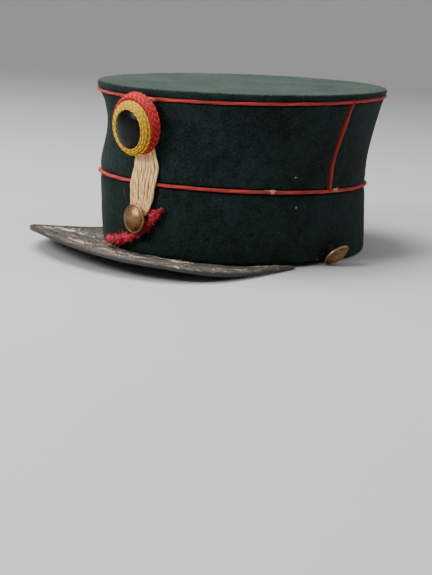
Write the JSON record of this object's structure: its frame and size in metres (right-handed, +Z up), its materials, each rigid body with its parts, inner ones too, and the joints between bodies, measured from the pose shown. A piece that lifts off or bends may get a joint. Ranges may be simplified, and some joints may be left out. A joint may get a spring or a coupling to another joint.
{
  "type": "kepi cap",
  "caption": "Stiff green cloth kepi with a flat top, red piping, cracked leather peak, round cockade, a strap of cream cords, a frayed wool tuft and domed brass buttons",
  "frame": {"origin": "on the plane that the cap rests on, under the middle of its bounding box", "axes": "+Z up, -Y the way the wearer faces, +X the wearer's left, so the cap's long direction is Y and its height Z is its shortest extent"},
  "size_m": [0.1932, 0.2568, 0.1128],
  "materials": {
    "green_cloth": "dark green milled wool broadcloth with a short nap, greyer on the top",
    "red_piping": "orange-red wool piping, slightly twisted, worn to pale threads in places",
    "peak_leather": "old dark leather, cracked and flaking to pale grey-beige",
    "red_wool": "bright red wool cord wound in rings",
    "yellow_wool": "golden yellow wool cord wound in rings",
    "boss_leather": "smooth black leather with a soft sheen",
    "cream_cord": "cream cotton cord, slightly fuzzy",
    "crimson_wool": "crimson wool yarn, frayed",
    "worn_brass": "brass worn to a dull coppery brown, brighter on its high parts"
  },
  "bodies": {
    "root": {"lower_band": "green_cloth", "crown_front": "green_cloth", "crown_back": "green_cloth", "crown_top": "green_cloth", "band_piping": "red_piping", "top_piping": "red_piping", "side_piping_left": "red_piping", "side_piping_right": "red_piping", "peak": "peak_leather", "peak_binding": "peak_leather", "cockade_red": "red_wool", "cockade_yellow": "yellow_wool", "cockade_boss": "boss_leather", "cord_strap": "cream_cord", "red_tuft": "crimson_wool", "front_button": "worn_brass", "side_button_left": "worn_brass", "side_button_right": "worn_brass"}
  },
  "joints": []
}
